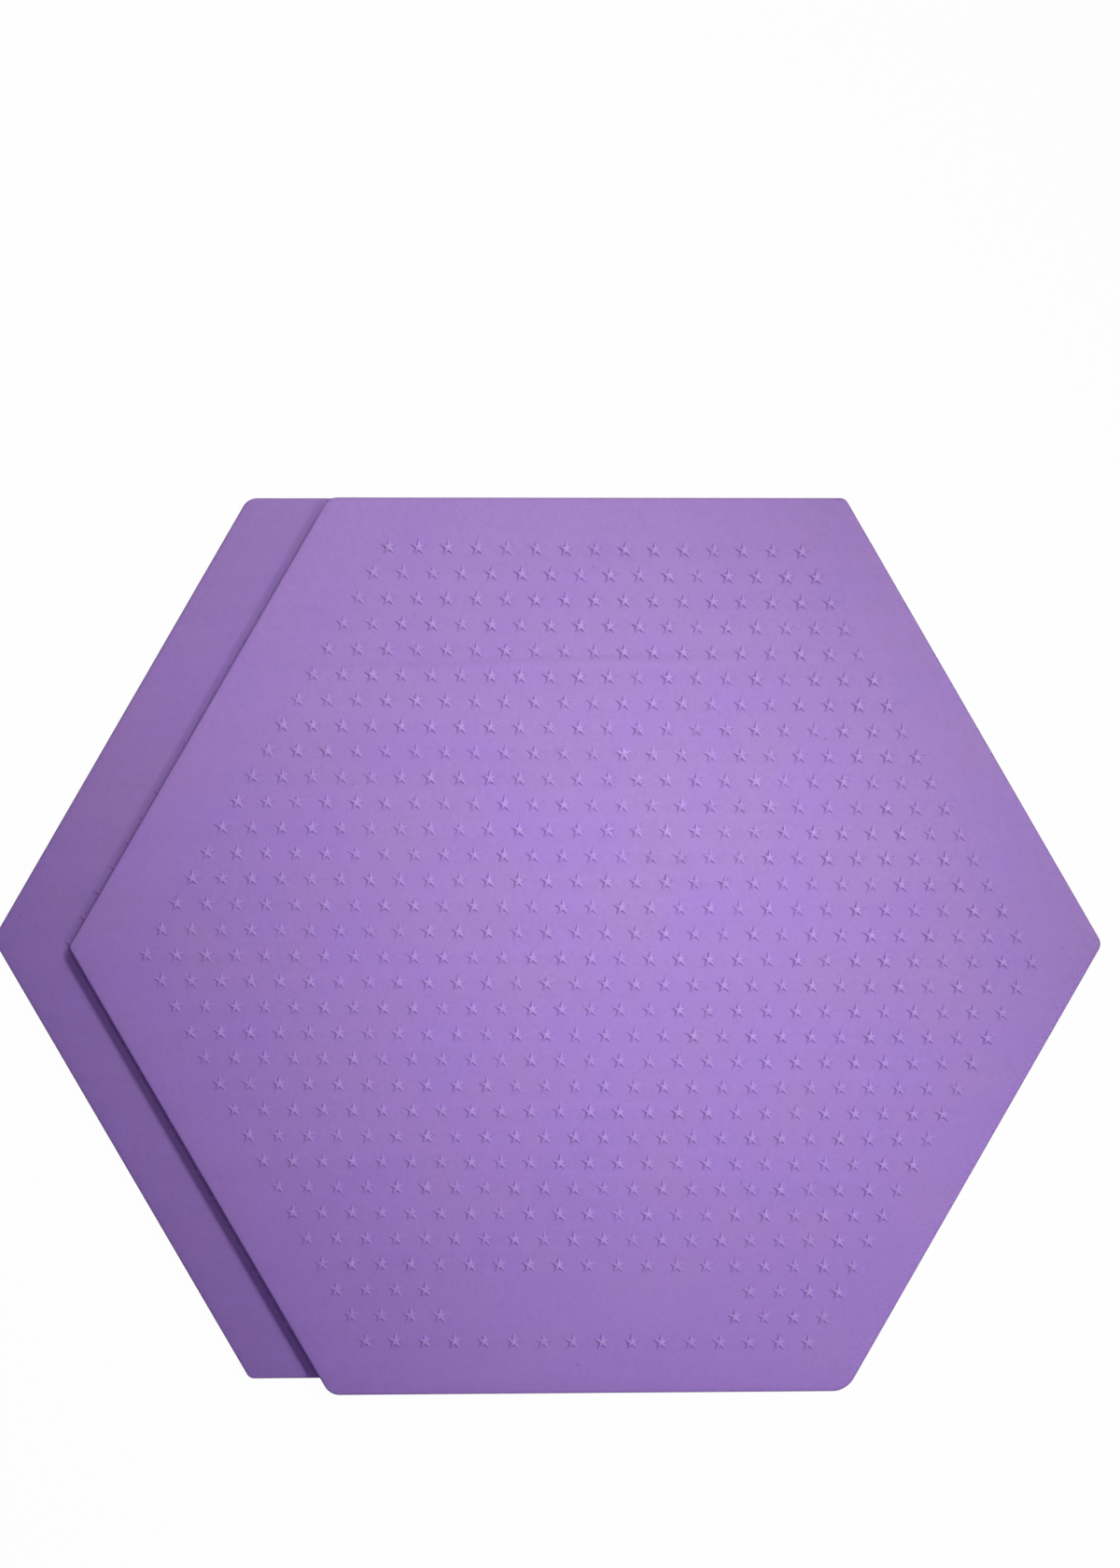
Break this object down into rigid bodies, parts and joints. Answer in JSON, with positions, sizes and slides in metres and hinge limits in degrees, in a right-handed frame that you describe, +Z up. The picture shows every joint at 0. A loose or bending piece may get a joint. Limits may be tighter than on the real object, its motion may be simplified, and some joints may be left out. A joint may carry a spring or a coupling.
{
  "type": "pin badge board",
  "caption": "Flat hexagonal foam boards with rounded corners and a pressed grid of small raised stars, laid one on the other, for pushing pin badges into.",
  "frame": {"origin": "under the middle of the pair of boards, on the surface that the lower board lies on", "axes": "+Z up out of the starred faces, +X from corner to corner towards the side that the upper board is shifted to, +Y towards the side away from the bare panel"},
  "size_m": [0.3804, 0.3064, 0.0213],
  "materials": {
    "foam": "matte moulded skin of closed-cell foam"
  },
  "bodies": {
    "lower_board": {"lower_board": "foam"},
    "upper_board": {"upper_board": "foam"}
  },
  "joints": [
    {"name": "upper_board_lift", "type": "slide", "parent": "lower_board", "child": "upper_board", "axis": [0, 0, 1], "range_m": [0, 0.08]}
  ]
}
